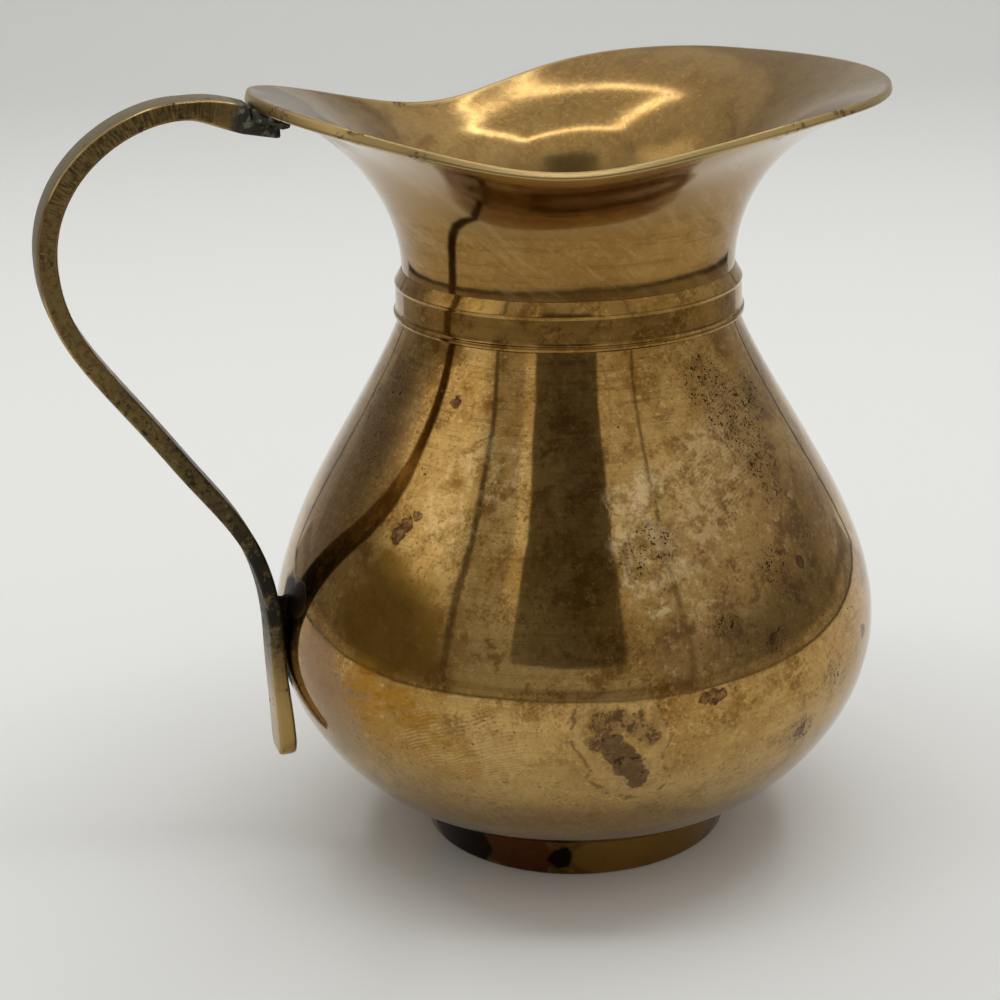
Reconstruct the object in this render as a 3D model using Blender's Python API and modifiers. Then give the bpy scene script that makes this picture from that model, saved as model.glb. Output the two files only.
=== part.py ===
"""Brass pitcher: a pear-shaped jug with a collared neck, a flared pouring lip and a bent strap handle.

Metres, +Z up. The jug stands on Z = 0, its spout points along +X and its handle along -X.
"""

import math

import bmesh
import bpy
import numpy as np
from mathutils import Vector
from mathutils.geometry import interpolate_bezier

MM = 0.001

# Gap kept at every soldered seam, and how finely round pieces and curves are drawn
SEAM = 0.3 * MM
ROUND_STEPS = 64
CURVE_POINTS = 11
TIP_STEPS = 6
MERGE_DISTANCE = 0.01 * MM

# Foot: a turned ring that tapers to the table
FOOT_HEIGHT = 6.9 * MM
FOOT_RADIUS = 25.0 * MM
FOOT_TAPER = 1.9 * MM
FOOT_WALL = 3.6 * MM
FOOT_EDGE = 0.5 * MM

# Belly: a spun bowl with a flat floor as wide as the foot, drawn in to a round mouth
BELLY_HEIGHT = 73.5 * MM
BELLY_RADIUS = 45.3 * MM
BELLY_WIDEST = 26.8 * MM
BELLY_WALL = 1.8 * MM
BELLY_LEDGE = 0.6 * MM
SHOULDER_ANGLE = math.radians(19.5)
SHOULDER_PULL = 13.3 * MM
WAIST_PULL_UP = 15.7 * MM
WAIST_PULL_DOWN = 14.7 * MM
FLOOR_PULL = 5.8 * MM

# Neck: a short tube on the belly's mouth, flared out to the lip
NECK_BORE_RADIUS = 22.5 * MM
NECK_WALL = 1.7 * MM
NECK_TUBE_HEIGHT = 7.0 * MM
FLARE_PULL = 9.7 * MM
LIP_PULL_SHARE = 0.67
LIP_LEAN = math.radians(24.8)
LIP_FLATTENS = math.radians(2.6) / MM
LIP_EDGE = 0.4 * MM

# Lip: reach from the axis and height above the neck's foot, at even steps from the spout to the tongue
SPOUT_REACH = 46.2 * MM
SPOUT_CHEEK_REACH = 44.9 * MM
SPOUT_ROOT_REACH = 39.8 * MM
LIP_WAIST_REACH = 34.0 * MM
TONGUE_CHEEK_REACH = 40.7 * MM
TONGUE_REACH = 45.2 * MM
SPOUT_HEIGHT = 32.3 * MM
SPOUT_CHEEK_HEIGHT = 32.3 * MM
SPOUT_ROOT_HEIGHT = 30.3 * MM
LIP_WAIST_HEIGHT = 26.3 * MM
TONGUE_CHEEK_HEIGHT = 30.8 * MM
TONGUE_HEIGHT = 34.0 * MM

# Collar: a ring round the seam of neck and belly, with a bead below and a bevelled ledge above
COLLAR_WALL = 0.8 * MM
COLLAR_HEIGHT = 6.9 * MM
COLLAR_LEDGE_HEIGHT = 2.0 * MM
COLLAR_LEDGE_LAND = 0.2 * MM
COLLAR_BEAD = 0.4 * MM
COLLAR_BEAD_HEIGHT = 0.9 * MM

# Strap handle: a bent flat bar, stepped under the tongue and laid against the belly
HANDLE_REACH = 76.0 * MM
STRAP_WIDTH = 6.6 * MM
STRAP_EDGE = 0.4 * MM
TAB_LENGTH = 4.8 * MM
TAB_THICK = 1.6 * MM
TAB_POINTS = 5
STEP_RISE = 1.9 * MM
STEP_CLIMB = math.radians(18.0)
CROWN_BACK = 8.6 * MM
CROWN_RISE = 1.8 * MM
LOOP_DROP = 19.4 * MM
SWEEP_OUT = 12.4 * MM
SWEEP_UP = 30.0 * MM
SWEEP_ANGLE = math.radians(55.6)
CONTACT_ABOVE_WIDEST = 1.0 * MM
TAIL_LENGTH = 16.1 * MM
TAIL_LEAN = 0.7 * MM

# Strap thickness, and how far each bend is drawn out before and after it
STEP_THICK = 3.9 * MM
CROWN_THICK = 2.6 * MM
LOOP_THICK = 2.8 * MM
SWEEP_THICK = 2.7 * MM
CONTACT_THICK = 2.1 * MM
TAIL_THICK = 2.6 * MM
STEP_PULL = 5.0 * MM
CROWN_PULL_IN = 2.5 * MM
CROWN_PULL_OUT = 8.0 * MM
LOOP_PULL_IN = 12.2 * MM
LOOP_PULL_OUT = 10.8 * MM
SWEEP_PULL_IN = 16.3 * MM
SWEEP_PULL_OUT = 11.8 * MM
CONTACT_PULL = 16.0 * MM
TAIL_PULL = 5.0 * MM

# Solder: the pad over the tab and the wedge in the crevice above the belly contact
PAD_THICK = 0.7 * MM
PAD_SPILL = 0.9 * MM
PAD_INSET = 0.6 * MM
WEDGE_THIN = 0.35 * MM
WEDGE_HEIGHT = 11.0 * MM
WEDGE_WIDTH = 5.4 * MM
WEDGE_LEVELS = 16
SOLDER_EDGE = 0.15 * MM

# Rounding: the number of facets of an edge, and the corner that counts as one
EDGE_SEGMENTS = 2
EDGE_CORNER = math.radians(50)

# Heights and radii that follow from the stack of pieces
BELLY_FLOOR_Z = FOOT_HEIGHT + SEAM
BELLY_WIDEST_Z = BELLY_FLOOR_Z + BELLY_WIDEST
BELLY_MOUTH_Z = BELLY_FLOOR_Z + BELLY_HEIGHT
CONTACT_Z = BELLY_WIDEST_Z + CONTACT_ABOVE_WIDEST
NECK_FOOT_Z = BELLY_MOUTH_Z + SEAM
FLARE_Z = NECK_FOOT_Z + NECK_TUBE_HEIGHT
NECK_RADIUS = NECK_BORE_RADIUS + NECK_WALL
PAD_DEPTH = NECK_WALL + SEAM
TAB_DEPTH = PAD_DEPTH + PAD_THICK + SEAM
SPOUT = 0.0
TONGUE = math.pi


def curve_between(start, start_pull, end_pull, end):
    """Points of the smooth curve between two ends, drawn out along a pull at each end."""
    start = Vector(start)
    end = Vector(end)
    start_knot = start + Vector(start_pull)
    end_knot = end + Vector(end_pull)
    return interpolate_bezier(start, start_knot, end_knot, end, CURVE_POINTS)


def heading(angle):
    return Vector((math.cos(angle), math.sin(angle)))


def metal(name, color, roughness, metallic=1.0):
    material = bpy.data.materials.new(name)
    material.use_nodes = True
    shader = material.node_tree.nodes["Principled BSDF"]
    shader.inputs["Base Color"].default_value = (*color, 1.0)
    shader.inputs["Roughness"].default_value = roughness
    shader.inputs["Metallic"].default_value = metallic
    return material


def add_piece(name, data, material):
    piece = bpy.data.objects.new(name, data)
    data.materials.append(material)
    pitcher.objects.link(piece)
    piece.parent = body_axis
    return piece


def turned(name, profile, material, ring):
    """A piece turned on the body axis from (radius, height) points; a ring's profile closes on itself."""
    count = len(profile)
    edges = [(i, (i + 1) % count) for i in range(count if ring else count - 1)]
    mesh = bpy.data.meshes.new(name)
    mesh.from_pydata([(radius, 0.0, height) for radius, height in profile], edges, [])
    piece = add_piece(name, mesh, material)
    screw = piece.modifiers.new("Turn", "SCREW")
    screw.steps = ROUND_STEPS
    screw.render_steps = ROUND_STEPS
    screw.use_smooth_shade = True
    screw.use_merge_vertices = True
    screw.merge_threshold = MERGE_DISTANCE
    return piece


def add_wall(piece, thickness, offset):
    shell = piece.modifiers.new("Wall", "SOLIDIFY")
    shell.thickness = thickness
    shell.offset = offset
    shell.use_even_offset = True


def round_edges(piece, width):
    bevel = piece.modifiers.new("Rounded edges", "BEVEL")
    bevel.width = width
    bevel.segments = EDGE_SEGMENTS
    bevel.limit_method = "ANGLE"
    bevel.angle_limit = EDGE_CORNER


def keep_flats(piece):
    """Shades the flats of a smooth-shaded piece evenly, by the size of each face."""
    piece.modifiers.new("Even flats", "WEIGHTED_NORMAL")


def cut_from_plate(name, outline, width, material, edge):
    """A flat (x, z) outline in the handle's plane, given its width across that plane."""
    curve = bpy.data.curves.new(name, "CURVE")
    curve.dimensions = "2D"
    curve.fill_mode = "BOTH"
    curve.extrude = width / 2
    spline = curve.splines.new("POLY")
    spline.points.add(len(outline) - 1)
    for point, (x, z) in zip(spline.points, outline):
        point.co = (x, z, 0.0, 1.0)
    spline.use_cyclic_u = True
    piece = add_piece(name, curve, material)
    piece.rotation_euler = (math.pi / 2, 0.0, 0.0)
    weld = piece.modifiers.new("Join caps", "WELD")
    weld.merge_threshold = MERGE_DISTANCE
    round_edges(piece, edge)


def belly_profile():
    """Outer line of the belly from its mouth down to the edge of its floor."""
    mouth = (NECK_RADIUS + BELLY_LEDGE, BELLY_MOUTH_Z)
    widest = (BELLY_RADIUS, BELLY_WIDEST_Z)
    floor_edge = (FOOT_RADIUS, BELLY_FLOOR_Z)
    shoulder_pull = SHOULDER_PULL * Vector((math.sin(SHOULDER_ANGLE), -math.cos(SHOULDER_ANGLE)))
    upper = curve_between(mouth, shoulder_pull, (0.0, WAIST_PULL_UP), widest)
    lower = curve_between(widest, (0.0, -WAIST_PULL_DOWN), (FLOOR_PULL, 0.0), floor_edge)
    return upper + lower[1:]


def waves_through(sizes):
    """Amounts of the cosine waves that pass through sizes at even steps over half a turn."""
    last = len(sizes) - 1
    amounts = []
    for order in range(len(sizes)):
        terms = [size * math.cos(math.pi * order * i / last) for i, size in enumerate(sizes)]
        amount = (2 * sum(terms) - terms[0] - terms[-1]) / last
        amounts.append(amount / 2 if order in (0, last) else amount)
    return amounts


def sum_of_waves(amounts, angle):
    return sum(amount * math.cos(order * angle) for order, amount in enumerate(amounts))


def flare_controls(angle):
    """The four (radius, height) points that draw the inside of the flare at this angle from the spout."""
    reach = sum_of_waves(lip_reach, angle)
    lean = LIP_LEAN - LIP_FLATTENS * (reach - lip_reach[0])
    throat = Vector((NECK_BORE_RADIUS, FLARE_Z))
    lip = Vector((reach, NECK_FOOT_Z + sum_of_waves(lip_height, angle)))
    lip_pull = LIP_PULL_SHARE * (reach - NECK_BORE_RADIUS) * heading(lean)
    return throat, throat + Vector((0.0, FLARE_PULL)), lip - lip_pull, lip


def flare_below(angle, share, depth):
    """A point this far outside the flare's inner face, at this share of the way from throat to lip."""
    a, b, c, d = flare_controls(angle)
    rest = 1.0 - share
    point = rest**3 * a + 3 * rest**2 * share * b + 3 * rest * share**2 * c + share**3 * d
    run = rest**2 * (b - a) + 2 * rest * share * (c - b) + share**2 * (d - c)
    return point + depth * Vector((run.y, -run.x)).normalized()


def neck_surface():
    """Inside face of the neck, lofted from its round foot to the wavy lip."""
    mesh = bpy.data.meshes.new("neck")
    loft = bmesh.new()
    lines = []
    for step in range(ROUND_STEPS):
        angle = 2 * math.pi * step / ROUND_STEPS
        line = [Vector((NECK_BORE_RADIUS, NECK_FOOT_Z))]
        line += [flare_below(angle, i / (CURVE_POINTS - 1), 0.0) for i in range(CURVE_POINTS)]
        lines.append([loft.verts.new((*(p.x * heading(angle)), p.y)) for p in line])
    for near, far in zip(lines, lines[1:] + lines[:1]):
        for i in range(CURVE_POINTS):
            loft.faces.new((near[i], far[i], far[i + 1], near[i + 1]))
    loft.to_mesh(mesh)
    loft.free()
    mesh.shade_smooth()
    return mesh


def strap_stations():
    """The strap's stations from the step to the tail: place, heading, pulls in and out, thickness."""
    rim_edge = flare_below(TONGUE, 1.0, NECK_WALL)
    tab_top = flare_below(TONGUE, 1.0, TAB_DEPTH)
    step_x = -rim_edge.x - SEAM - math.sin(STEP_CLIMB) * STEP_THICK / 2
    step_z = tab_top.y + STEP_RISE - STEP_THICK / 2
    crown_x = step_x - CROWN_BACK
    crown_z = step_z + CROWN_RISE
    loop_x = LOOP_THICK / 2 - HANDLE_REACH
    contact_x = -BELLY_RADIUS - SEAM - CONTACT_THICK / 2
    sweep = (contact_x - SWEEP_OUT, CONTACT_Z + SWEEP_UP)
    tail = (contact_x + TAIL_LEAN, CONTACT_Z - TAIL_LENGTH)
    back = math.pi
    down = -math.pi / 2
    return (
        ((step_x, step_z), back - STEP_CLIMB, 0.0, STEP_PULL, STEP_THICK),
        ((crown_x, crown_z), back, CROWN_PULL_IN, CROWN_PULL_OUT, CROWN_THICK),
        ((loop_x, crown_z - LOOP_DROP), down, LOOP_PULL_IN, LOOP_PULL_OUT, LOOP_THICK),
        (sweep, -SWEEP_ANGLE, SWEEP_PULL_IN, SWEEP_PULL_OUT, SWEEP_THICK),
        ((contact_x, CONTACT_Z), down, CONTACT_PULL, TAIL_PULL, CONTACT_THICK),
        (tail, down, TAIL_PULL, 0.0, TAIL_THICK),
    )


def strap_edges():
    """The strap's outer and inner edges, from the step to the tail, and the tail's rounded end."""
    outer = []
    inner = []
    stations = strap_stations()
    for start, end in zip(stations, stations[1:]):
        place, way, _, pull_out, thick = start
        next_place, next_way, pull_in, _, next_thick = end
        line = curve_between(place, heading(way) * pull_out, heading(next_way) * -pull_in, next_place)
        runs = [after - before for before, after in zip(line, line[2:])]
        runs = [heading(way)] + runs + [heading(next_way)]
        for i, (point, run) in enumerate(zip(line, runs)):
            if i == 0 and outer:
                continue
            share = i / (len(line) - 1)
            half = (thick + (next_thick - thick) * share * share * (3 - 2 * share)) / 2
            side = Vector((run.y, -run.x)).normalized() * half
            outer.append(point + side)
            inner.append(point - side)
    centre = (outer[-1] + inner[-1]) / 2
    turn = [math.pi + math.pi * i / TIP_STEPS for i in range(1, TIP_STEPS)]
    tip = [centre + heading(angle) * TAIL_THICK / 2 for angle in turn]
    return outer, inner, tip


def line_under_tongue(depth, inset):
    """Line this deep under the tongue, from the tab's end out to this inset from the lip."""
    _, _, knot, lip = flare_controls(TONGUE)
    lip_run = 3 * (lip - knot).length
    line = []
    for i in range(TAB_POINTS):
        from_lip = TAB_LENGTH + (inset - TAB_LENGTH) * i / (TAB_POINTS - 1)
        point = flare_below(TONGUE, 1.0 - from_lip / lip_run, depth)
        line.append(Vector((-point.x, point.y)))
    return line


for leftover in list(bpy.data.objects):
    bpy.data.objects.remove(leftover)

pitcher = bpy.data.collections.new("brass_pitcher")
bpy.context.scene.collection.children.link(pitcher)
body_axis = bpy.data.objects.new("body_axis", None)
pitcher.objects.link(body_axis)

# Foot ring, on the table
foot_rest_radius = FOOT_RADIUS - FOOT_TAPER
foot_bore_radius = foot_rest_radius - FOOT_WALL
foot_profile = [
    (foot_bore_radius, FOOT_HEIGHT),
    (FOOT_RADIUS, FOOT_HEIGHT),
    (foot_rest_radius, FOOT_EDGE),
    (foot_rest_radius - FOOT_EDGE, 0.0),
    (foot_bore_radius, 0.0),
]
foot_brass = metal("foot_brass", (0.20, 0.11, 0.035), 0.42)
foot = turned("foot_ring", foot_profile, foot_brass, ring=True)
keep_flats(foot)

# Belly, soldered on the foot
belly_line = belly_profile()
belly_brass = metal("belly_brass", (0.45, 0.31, 0.12), 0.26)
belly = turned("belly", belly_line + [(0.0, BELLY_FLOOR_Z)], belly_brass, ring=False)
add_wall(belly, BELLY_WALL, -1.0)

# Neck and lip, standing on the belly's mouth
lip_reach = waves_through(
    (SPOUT_REACH, SPOUT_CHEEK_REACH, SPOUT_ROOT_REACH, LIP_WAIST_REACH, TONGUE_CHEEK_REACH, TONGUE_REACH)
)
lip_height = waves_through(
    (
        SPOUT_HEIGHT,
        SPOUT_CHEEK_HEIGHT,
        SPOUT_ROOT_HEIGHT,
        LIP_WAIST_HEIGHT,
        TONGUE_CHEEK_HEIGHT,
        TONGUE_HEIGHT,
    )
)
neck = add_piece("neck", neck_surface(), metal("neck_brass", (0.47, 0.32, 0.12), 0.28))
add_wall(neck, NECK_WALL, 1.0)
round_edges(neck, LIP_EDGE)

# Collar round the seam
collar_bore = NECK_RADIUS + SEAM
collar_radius = collar_bore + COLLAR_WALL
collar_top = NECK_FOOT_Z + COLLAR_HEIGHT
bead_radius = collar_radius + COLLAR_BEAD
bead_top = NECK_FOOT_Z + COLLAR_BEAD_HEIGHT
collar_profile = [
    (collar_bore, collar_top),
    (collar_bore + COLLAR_LEDGE_LAND, collar_top),
    (collar_radius, collar_top - COLLAR_LEDGE_HEIGHT),
    (collar_radius, bead_top),
    (bead_radius, bead_top - COLLAR_BEAD),
    (bead_radius, NECK_FOOT_Z + COLLAR_BEAD / 2),
    (bead_radius - COLLAR_BEAD / 2, NECK_FOOT_Z),
    (collar_bore, NECK_FOOT_Z),
]
collar_brass = metal("collar_brass", (0.46, 0.31, 0.11), 0.27)
collar = turned("collar", collar_profile, collar_brass, ring=True)
keep_flats(collar)

# Strap handle, its tab under the tongue and its tail against the belly
outer_edge, inner_edge, tail_tip = strap_edges()
tab_top_line = line_under_tongue(TAB_DEPTH, 0.0)
tab_corner = tab_top_line[0] - Vector((0.0, TAB_THICK))
strap_outline = outer_edge + tail_tip + inner_edge[::-1] + [tab_corner] + tab_top_line
strap_brass = metal("strap_brass", (0.30, 0.20, 0.07), 0.38)
cut_from_plate("handle_strap", strap_outline, STRAP_WIDTH, strap_brass, STRAP_EDGE)

# Solder pad between the tab and the tongue
pad_top = line_under_tongue(PAD_DEPTH, PAD_INSET)
pad_bottom = line_under_tongue(PAD_DEPTH + PAD_THICK, PAD_INSET)
crust = metal("solder_crust", (0.10, 0.13, 0.09), 0.8, 0.3)
cut_from_plate("upper_solder", pad_top + pad_bottom[::-1], STRAP_WIDTH + 2 * PAD_SPILL, crust, SOLDER_EDGE)

# Solder wedge in the crevice above the belly contact
levels = np.linspace(CONTACT_Z, CONTACT_Z + WEDGE_HEIGHT, WEDGE_LEVELS)
belly_heights = [point.y for point in belly_line[::-1]]
belly_radii = [point.x for point in belly_line[::-1]]
belly_side = -np.interp(levels, belly_heights, belly_radii) - SEAM
strap_heights = [point.y for point in inner_edge[::-1]]
strap_places = [point.x for point in inner_edge[::-1]]
strap_side = np.interp(levels, strap_heights, strap_places) + SEAM
filled = belly_side - strap_side > WEDGE_THIN
wedge_strap_line = list(zip(strap_side[filled], levels[filled]))
wedge_belly_line = list(zip(belly_side[filled], levels[filled]))
soot = metal("solder_soot", (0.02, 0.018, 0.015), 0.75, 0.3)
cut_from_plate("lower_solder", wedge_strap_line + wedge_belly_line[::-1], WEDGE_WIDTH, soot, SOLDER_EDGE)

# The axis of the body stands off the origin, so that the origin is midway between handle and spout
spout_edge = flare_below(SPOUT, 1.0, NECK_WALL)
body_axis.location = ((HANDLE_REACH - spout_edge.x) / 2, 0.0, 0.0)
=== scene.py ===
import math

import bmesh
import bpy
import numpy as np
from mathutils import Matrix, Vector, noise
from mathutils.geometry import interpolate_bezier


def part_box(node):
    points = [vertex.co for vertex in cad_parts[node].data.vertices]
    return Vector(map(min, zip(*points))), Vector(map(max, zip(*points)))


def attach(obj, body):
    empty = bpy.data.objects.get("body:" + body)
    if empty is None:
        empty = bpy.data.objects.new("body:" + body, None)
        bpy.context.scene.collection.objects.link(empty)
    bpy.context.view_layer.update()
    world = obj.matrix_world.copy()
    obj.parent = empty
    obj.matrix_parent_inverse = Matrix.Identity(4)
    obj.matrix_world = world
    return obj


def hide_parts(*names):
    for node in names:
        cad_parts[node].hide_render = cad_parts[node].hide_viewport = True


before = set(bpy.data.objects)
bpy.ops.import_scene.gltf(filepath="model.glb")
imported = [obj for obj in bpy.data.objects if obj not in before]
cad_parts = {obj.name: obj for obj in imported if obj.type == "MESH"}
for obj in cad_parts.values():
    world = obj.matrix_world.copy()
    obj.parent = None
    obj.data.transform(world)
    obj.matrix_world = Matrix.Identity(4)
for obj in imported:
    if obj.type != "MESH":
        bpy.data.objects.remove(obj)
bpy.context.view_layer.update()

bpy.context.scene.view_settings.view_transform = "Standard"

# Foot ring: a heavy turned brass ring that tapers down to the table. It is sweated to the floor of the
# belly. Years on shelves have left it the darkest piece, stained red-brown and black.
MM = 0.001
EVEN_STEP = 0.8 * MM
FILLET_STEPS = 5
TURN_STEPS = 224
WELD_GAP = 0.001 * MM
SHARP_ANGLE = math.radians(40)
foot_low, foot_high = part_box("foot_ring")
axis_x = (foot_low.x + foot_high.x) / 2
foot_radius = (foot_high.x - foot_low.x) / 2
foot_height = foot_high.z
foot_taper = 1.9 * MM
foot_width = 3.6 * MM
foot_rest_radius = foot_radius - foot_taper
foot_bore_radius = foot_rest_radius - foot_width
foot_fillet = 0.45 * MM
foot_mark_inset = 0.8 * MM
foot_mark_z = 3.4 * MM


def way(angle):
    return Vector((math.cos(angle), math.sin(angle)))


def filleted(corners):
    """Points round a closed outline of (radius, height, fillet) corners, with each corner rounded."""
    points = []
    for i, (radius, height, fillet) in enumerate(corners):
        corner = Vector((radius, height))
        before = (Vector(corners[i - 1][:2]) - corner).normalized()
        after = (Vector(corners[(i + 1) % len(corners)][:2]) - corner).normalized()
        for step in range(FILLET_STEPS + 1):
            t = step / FILLET_STEPS
            points.append(corner + fillet * ((1 - t) ** 2 * before + t**2 * after))
    return points


def evened(points, closed):
    """The same line with more points on its long runs, so that it shades evenly."""
    line = []
    for start, end in zip(points, points[1:] + points[:1] if closed else points[1:]):
        count = max(1, math.ceil((end - start).length / EVEN_STEP))
        line += [start.lerp(end, i / count) for i in range(count)]
    return line if closed else line + points[-1:]


def bridge(shape, rows, closed):
    """Faces between each row of points and the next; a closed row joins its last point to its first."""
    count = len(rows[0])
    for near, far in zip(rows, rows[1:]):
        for i in range(count if closed else count - 1):
            j = (i + 1) % count
            shape.faces.new((near[i], near[j], far[j], far[i]))


def smoothed(name, shape, sharp_angle):
    """The mesh of a finished shape, shaded smooth but for edges sharper than this angle."""
    bmesh.ops.recalc_face_normals(shape, faces=shape.faces)
    mesh = bpy.data.meshes.new(name)
    shape.to_mesh(mesh)
    shape.free()
    mesh.shade_smooth()
    mesh.set_sharp_from_angle(angle=sharp_angle)
    return mesh


def skinned(name, rings, closed):
    """A mesh from rings of points all the way round, where a closed ring is one with no ends."""
    shape = bmesh.new()
    rows = [[shape.verts.new(point) for point in ring] for ring in rings]
    bridge(shape, rows + rows[:1], closed)
    bmesh.ops.remove_doubles(shape, verts=shape.verts, dist=WELD_GAP)
    return smoothed(name, shape, SHARP_ANGLE)


def on_axis(angle, radius, height):
    """A point at this angle from the spout, this far from the body's axis and this high."""
    return Vector((axis_x + radius * math.cos(angle), radius * math.sin(angle), height))


def round_turn(count):
    """Even angles, once round."""
    return [2 * math.pi * step / count for step in range(count)]


def turned(name, outline, closed):
    """A mesh turned round the body's axis from an outline of (radius, height) points."""
    rings = [[on_axis(angle, p.x, p.y) for p in outline] for angle in round_turn(TURN_STEPS)]
    return skinned(name, rings, closed)


def add_piece(name, mesh, material, node):
    piece = bpy.data.objects.new(name, mesh)
    bpy.context.scene.collection.objects.link(piece)
    mesh.materials.append(material)
    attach(piece, "root")
    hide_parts(node)
    return piece


class Finish:
    """A finish laid on in coats; each coat is a few shader nodes placed in the part's own metres."""

    def __init__(self, name, color, roughness, metallic=1.0):
        self.material = bpy.data.materials.new(name)
        self.material.use_nodes = True
        self.tree = self.material.node_tree
        self.place = self.node("ShaderNodeTexCoord").outputs["Object"]
        self.color = (*color, 1.0)
        self.roughness = roughness
        self.metallic = metallic
        self.normal = None

    def feed(self, socket, value):
        if isinstance(value, bpy.types.NodeSocket):
            self.tree.links.new(value, socket)
        else:
            socket.default_value = value

    def node(self, kind, *values, **settings):
        made = self.tree.nodes.new(kind)
        for key, value in settings.items():
            setattr(made, key, value)
        for socket, value in zip(made.inputs, values):
            self.feed(socket, value)
        return made

    def math(self, operation, *values):
        return self.node("ShaderNodeMath", *values, operation=operation).outputs[0]

    def times(self, share, *others):
        for other in others:
            share = self.math("MULTIPLY", share, other)
        return share

    def height(self):
        return self.node("ShaderNodeSeparateXYZ", self.place).outputs["Z"]

    def kept(self, name):
        """A value that was kept with the points of the mesh."""
        return self.node("ShaderNodeAttribute", attribute_name=name).outputs["Fac"]

    def grain(self, period, detail=4.0, harshness=0.55, stretch=None, turn=None):
        """Cloudy noise from 0 to 1 with this period, turned and then squeezed along the axes."""
        place = self.place
        if turn:
            place = self.node("ShaderNodeVectorRotate", place, rotation_type="EULER_XYZ")
            self.feed(place.inputs["Rotation"], turn)
            place = place.outputs[0]
        if stretch:
            place = self.node("ShaderNodeVectorMath", place, stretch, operation="MULTIPLY").outputs[0]
        cloud = self.node("ShaderNodeTexNoise")
        self.feed(cloud.inputs["Vector"], place)
        self.feed(cloud.inputs["Scale"], 1.0 / period)
        self.feed(cloud.inputs["Detail"], detail)
        self.feed(cloud.inputs["Roughness"], harshness)
        return cloud.outputs["Fac"]

    def spread(self, value, low, high, least=0.0, most=1.0):
        """Value from low to high drawn out to least to most, with soft shoulders."""
        spread = self.node("ShaderNodeMapRange", value, low, high, least, most)
        spread.interpolation_type = "SMOOTHSTEP"
        return spread.outputs["Result"]

    def clouds(self, low, high, *grain):
        """Patches of grain: 0 where the grain is under low, 1 where it is over high."""
        return self.spread(self.grain(*grain), low, high)

    def level(self, share, under, over):
        return self.node("ShaderNodeMapRange", share, 0.0, 1.0, under, over).outputs["Result"]

    def shaken(self, ragged, period):
        """The place, pushed about by up to this much, so that what is drawn at it gets a ragged edge."""
        cloud = self.node("ShaderNodeTexNoise")
        self.feed(cloud.inputs["Vector"], self.place)
        self.feed(cloud.inputs["Scale"], 1.0 / period)
        self.feed(cloud.inputs["Detail"], 5.0)
        middle = self.node("ShaderNodeVectorMath", cloud.outputs["Color"], (0.5, 0.5, 0.5))
        middle.operation = "SUBTRACT"
        shift = self.node("ShaderNodeVectorMath", middle.outputs[0], operation="SCALE")
        self.feed(shift.inputs["Scale"], 2 * ragged)
        return self.node("ShaderNodeVectorMath", self.place, shift.outputs[0], operation="ADD").outputs[0]

    def marks(self, places, ragged, period):
        """Where any of the (point, radius) marks lies: 1 at its middle, 0 past its ragged edge."""
        place = self.shaken(ragged, period)
        found = None
        for point, radius in places:
            away = self.node("ShaderNodeVectorMath", place, point, operation="DISTANCE").outputs["Value"]
            mark = self.spread(away, radius, 0.0)
            found = mark if found is None else self.math("MAXIMUM", found, mark)
        return found

    def ridges(self, middle, pitch, bend):
        """Fine lines round a point, from 0 to 1, bent about like the lines of a fingertip."""
        place = self.shaken(bend, 5 * MM)
        away = self.node("ShaderNodeVectorMath", place, middle, operation="DISTANCE").outputs["Value"]
        return self.spread(self.math("SINE", self.times(away, 2 * math.pi / pitch)), -0.6, 0.8)

    def cracks(self, period, ragged):
        """Ragged cracks round flakes of this size: 1 in a crack, 0 on a flake."""
        cells = self.node("ShaderNodeTexVoronoi", feature="DISTANCE_TO_EDGE")
        self.feed(cells.inputs["Vector"], self.shaken(ragged, 1.5 * MM))
        self.feed(cells.inputs["Scale"], 1.0 / period)
        return self.spread(cells.outputs["Distance"], 0.16, 0.02)

    def lay(self, share, strength, color=None, roughness=None, metallic=None):
        """Lays a coat of this strength over what is there, by a share from 0 to 1."""
        share = self.times(share, strength)
        if color is not None:
            mix = self.node("ShaderNodeMixRGB", share, self.color, (*color, 1.0))
            self.color = mix.outputs[0]
        if roughness is not None:
            self.roughness = self.level(share, self.roughness, roughness)
        if metallic is not None:
            self.metallic = self.level(share, self.metallic, metallic)

    def relief(self, height, depth):
        """Fine relief of this depth in metres, on top of what is there."""
        bump = self.node("ShaderNodeBump")
        self.feed(bump.inputs["Distance"], depth)
        self.feed(bump.inputs["Height"], height)
        if self.normal is not None:
            self.feed(bump.inputs["Normal"], self.normal)
        self.normal = bump.outputs["Normal"]

    def done(self):
        shader = self.tree.nodes["Principled BSDF"]
        self.feed(shader.inputs["Base Color"], self.color)
        self.feed(shader.inputs["Roughness"], self.roughness)
        self.feed(shader.inputs["Metallic"], self.metallic)
        if self.normal is not None:
            self.feed(shader.inputs["Normal"], self.normal)
        return self.material


TURNING = (1.0, 1.0, 60.0)
RUBBED_LEFT = (0.0, math.radians(32), math.radians(70))
RUBBED_RIGHT = (0.0, math.radians(-40), math.radians(70))


def toned(color, red, green, blue):
    return [color[0] * red, color[1] * green, color[2] * blue]


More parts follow.
